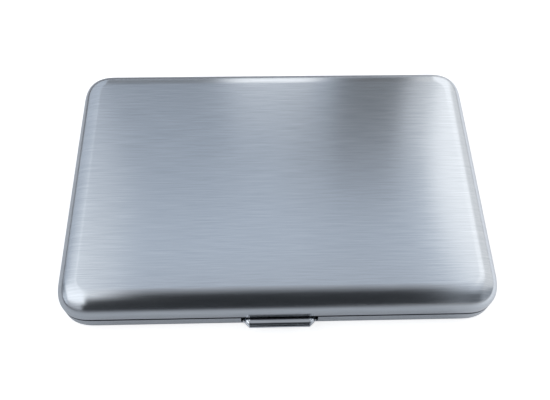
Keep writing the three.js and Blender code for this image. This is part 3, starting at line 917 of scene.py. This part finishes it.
def make_camera():
    """Looks down at the case's seam plane from in front, turned a little about its own axis."""
    data = bpy.data.cameras.new("camera")
    data.sensor_width = 36
    data.lens = LENS
    data.clip_start = 0.005
    camera = bpy.data.objects.new("camera", data)
    bpy.context.scene.collection.objects.link(camera)
    az, el, roll = CAMERA_AZIMUTH, CAMERA_ELEVATION, CAMERA_ROLL
    back = Vector((math.sin(az) * math.cos(el), -math.cos(az) * math.cos(el), math.sin(el)))
    right = Vector((math.cos(az), math.sin(az), 0))
    up = right.cross(-back)
    seam = Vector((0, 0, (base_high.z + lid_low.z) / 2))
    place = seam + back * CAMERA_DISTANCE + right * CAMERA_SIDE + up * CAMERA_UP
    turned_right = right * math.cos(roll) + up * math.sin(roll)
    turned_up = up * math.cos(roll) - right * math.sin(roll)
    rows = [[turned_right[i], turned_up[i], back[i], place[i]] for i in range(3)]
    camera.matrix_world = Matrix(rows + [[0, 0, 0, 1]])
    bpy.context.scene.camera = camera


make_camera()

# ---------------------------------------------------------------- floor and light

def make_floor():
    """A plain pale floor to the camera.

    What the case reflects of it is another floor: grey close by, dark further off, and lit on the right.
    """
    bpy.ops.mesh.primitive_plane_add(size=6, location=(0, 0, base_low.z - 0.02 * MM))
    floor = bpy.context.object
    floor.name = "floor"
    material = bpy.data.materials.new("floor")
    material.use_nodes = True
    tree = material.node_tree
    tree.nodes.clear()
    output = tree.nodes.new("ShaderNodeOutputMaterial")
    seen = tree.nodes.new("ShaderNodeLightPath")
    coordinates = tree.nodes.new("ShaderNodeTexCoord")
    squeezed = tree.nodes.new("ShaderNodeMapping")
    squeezed.inputs["Location"].default_value = (-0.5, 0, 0)
    squeezed.inputs["Scale"].default_value = (0.5 / HALF_X, 1 / HALF_Y, 0)
    tree.links.new(coordinates.outputs["Object"], squeezed.inputs["Vector"])
    distance = tree.nodes.new("ShaderNodeVectorMath")
    distance.operation = "LENGTH"
    tree.links.new(squeezed.outputs["Vector"], distance.inputs[0])
    far = ranged(tree, distance.outputs["Value"], 0, 1, 1.7, 3.6)
    matt = tree.nodes.new("ShaderNodeBsdfDiffuse")
    tree.links.new(colour_between(tree, far, (0.76, 0.77, 0.79), (0.12, 0.12, 0.13)),
                   matt.inputs["Color"])
    place = tree.nodes.new("ShaderNodeSeparateXYZ")
    tree.links.new(coordinates.outputs["Object"], place.inputs["Vector"])
    bounce = tree.nodes.new("ShaderNodeEmission")
    tree.links.new(ranged(tree, place.outputs["X"], 0, 0.55, 0.8 * HALF_X, 1.6 * HALF_X),
                   bounce.inputs["Strength"])
    dim = tree.nodes.new("ShaderNodeAddShader")
    tree.links.new(matt.outputs[0], dim.inputs[0])
    tree.links.new(bounce.outputs[0], dim.inputs[1])
    pale = tree.nodes.new("ShaderNodeBsdfDiffuse")
    pale.inputs["Color"].default_value = (0.62, 0.62, 0.62, 1)
    glow = tree.nodes.new("ShaderNodeEmission")
    glow.inputs["Color"].default_value = (1, 1, 1, 1)
    glow.inputs["Strength"].default_value = 0.75
    lit = tree.nodes.new("ShaderNodeAddShader")
    tree.links.new(pale.outputs[0], lit.inputs[0])
    tree.links.new(glow.outputs[0], lit.inputs[1])
    either = tree.nodes.new("ShaderNodeMixShader")
    tree.links.new(seen.outputs["Is Camera Ray"], either.inputs["Fac"])
    tree.links.new(dim.outputs[0], either.inputs[1])
    tree.links.new(lit.outputs[0], either.inputs[2])
    tree.links.new(either.outputs[0], output.inputs["Surface"])
    floor.data.materials.append(material)


class WorldSums:
    """Small sums on the sky's direction, for the studio's soft boxes and dark gaps."""

    def __init__(self, tree):
        self.tree = tree

    def math(self, operation, a, b):
        node = self.tree.nodes.new("ShaderNodeMath")
        node.operation = operation
        for socket, value in zip(node.inputs, (a, b)):
            if isinstance(value, (int, float)):
                socket.default_value = value
            else:
                self.tree.links.new(value, socket)
        return node.outputs[0]

    def rise(self, value, start, end, low=0.0, high=1.0):
        """low below start, high above end, smooth between them."""
        node = self.tree.nodes.new("ShaderNodeMapRange")
        node.interpolation_type = "SMOOTHSTEP"
        node.inputs["From Min"].default_value = start
        node.inputs["From Max"].default_value = end
        node.inputs["To Min"].default_value = low
        node.inputs["To Max"].default_value = high
        self.tree.links.new(value, node.inputs["Value"])
        return node.outputs["Result"]

    def between(self, value, low, high, soft):
        """1 from low to high and 0 outside, with edges soft wide."""
        up = self.rise(value, low - soft / 2, low + soft / 2)
        down = self.rise(value, high - soft / 2, high + soft / 2, 1, 0)
        return self.math("MULTIPLY", up, down)

    def laid_over(self, below, level, warmth, mask):
        """A level of light over what is below, where mask is 1. Warmth 0 is bluish and 1 is neutral."""
        node = self.tree.nodes.new("ShaderNodeMix")
        node.data_type = "RGBA"
        node.inputs["B"].default_value = (level * (0.90 + 0.10 * warmth), level,
                                          level * (1.14 - 0.14 * warmth), 1)
        if isinstance(below, tuple):
            node.inputs["A"].default_value = below
        else:
            self.tree.links.new(below, node.inputs["A"])
        self.tree.links.new(mask, node.inputs["Factor"])
        return node.outputs["Result"]


ROOM = (0.62, 0.64, 0.68, 1)
FAR = 99.0
# Panels of light laid one over another on a grey room: level, warmth, then where the panel lies
# sideways (the direction's X) and backwards (its Y over its Z), each with its edges' softness.
PANELS = [
    (0.045, 0.3, (-0.38, 0.60, 0.16), (-FAR, -0.02, 0.8)),   # dark behind the camera
    (0.95, 0.5, (0.29, FAR, 0.04), (-FAR, FAR, 0.1)),        # right box, lower part
    (0.20, 0.3, (0.29, FAR, 0.05), (-FAR, -0.4, 1.0)),       # shade under it
    (0.45, 0.4, (0.62, FAR, 0.25), (-FAR, -0.3, 1.2)),       # right wall, beside the shade
    (0.96, 0.0, (-FAR, FAR, 0.1), (0.31, FAR, 0.18)),        # overhead panel
    (0.57, 0.0, (-FAR, FAR, 0.1), (0.53, FAR, 0.20)),        # its dimmer back half
    (0.76, 0.2, (-FAR, -0.24, 0.04), (0.2, FAR, 0.3)),       # left wall, upper part
    (1.35, 0.8, (-0.40, -0.23, 0.08), (-0.5, 0.43, 0.7)),    # left box, its near edge
    (1.60, 0.8, (-0.92, -0.30, 0.06), (-1.25, 0.42, 0.9)),   # left box
    (0.30, 0.2, (-FAR, -0.93, 0.06), (-FAR, FAR, 0.3)),      # left wall, lower part
    (0.95, 0.4, (-FAR, -0.88, 0.06), (-FAR, 0.25, 0.8)),     # its front part
    (0.36, 0.5, (-0.30, -0.055, 0.04), (1.0, FAR, 0.14)),    # gap at the back left
    (1.65, 1.0, (-0.045, 0.095, 0.05), (1.02, FAR, 0.1)),    # bright slot at the back
    (0.42, 0.5, (0.05, 0.235, 0.06), (0.60, 0.78, 0.12)),    # shade before the gap
    (0.24, 0.7, (0.125, 0.235, 0.04), (0.65, FAR, 0.2)),     # gap between the boxes
    (1.02, 1.0, (0.235, FAR, 0.02), (0.74, FAR, 0.3)),       # side of the right box
    (0.85, 0.5, (-FAR, 0.5, 0.1), (9, FAR, 8)),              # far wall at the back
]


def make_world():
    """A studio of soft panels, drawn on the sky for the case to reflect. The camera sees plain white."""
    world = bpy.data.worlds.new("studio")
    world.use_nodes = True
    tree = world.node_tree
    tree.nodes.clear()
    sums = WorldSums(tree)
    coordinates = tree.nodes.new("ShaderNodeTexCoord")
    parts = tree.nodes.new("ShaderNodeSeparateXYZ")
    tree.links.new(coordinates.outputs["Generated"], parts.inputs["Vector"])
    height = sums.math("MAXIMUM", parts.outputs["Z"], 0.03)
    side = parts.outputs["X"]
    back = sums.math("DIVIDE", parts.outputs["Y"], height)
    sky = ROOM
    for level, warmth, across, along in PANELS:
        mask = sums.math("MULTIPLY", sums.between(side, *across), sums.between(back, *along))
        sky = sums.laid_over(sky, level, warmth, mask)
    slanted = sums.math("SUBTRACT", side, sums.rise(back, 0.2, 0.5, 0.1, 0.0))
    slanted = sums.math("ADD", slanted, sums.rise(back, 0.55, 0.75, 0.0, 0.015))
    mask = sums.math("MULTIPLY", sums.rise(slanted, 0.285, 0.298), sums.rise(back, 0.05, 0.36))
    sky = sums.laid_over(sky, 1.60, 1.0, mask)
    mask = sums.math("MULTIPLY", sums.rise(side, 0.55, 0.75), sums.rise(back, -0.8, 0.3))
    sky = sums.laid_over(sky, 1.1, 1.0, mask)

    seen = tree.nodes.new("ShaderNodeLightPath")
    shown = tree.nodes.new("ShaderNodeMix")
    shown.data_type = "RGBA"
    shown.inputs["B"].default_value = (1, 1, 1, 1)
    tree.links.new(sky, shown.inputs["A"])
    tree.links.new(seen.outputs["Is Camera Ray"], shown.inputs["Factor"])
    background = tree.nodes.new("ShaderNodeBackground")
    tree.links.new(shown.outputs["Result"], background.inputs["Color"])
    output = tree.nodes.new("ShaderNodeOutputWorld")
    tree.links.new(background.outputs[0], output.inputs["Surface"])
    bpy.context.scene.world = world


make_floor()
make_world()
bpy.context.scene.view_settings.view_transform = "Standard"
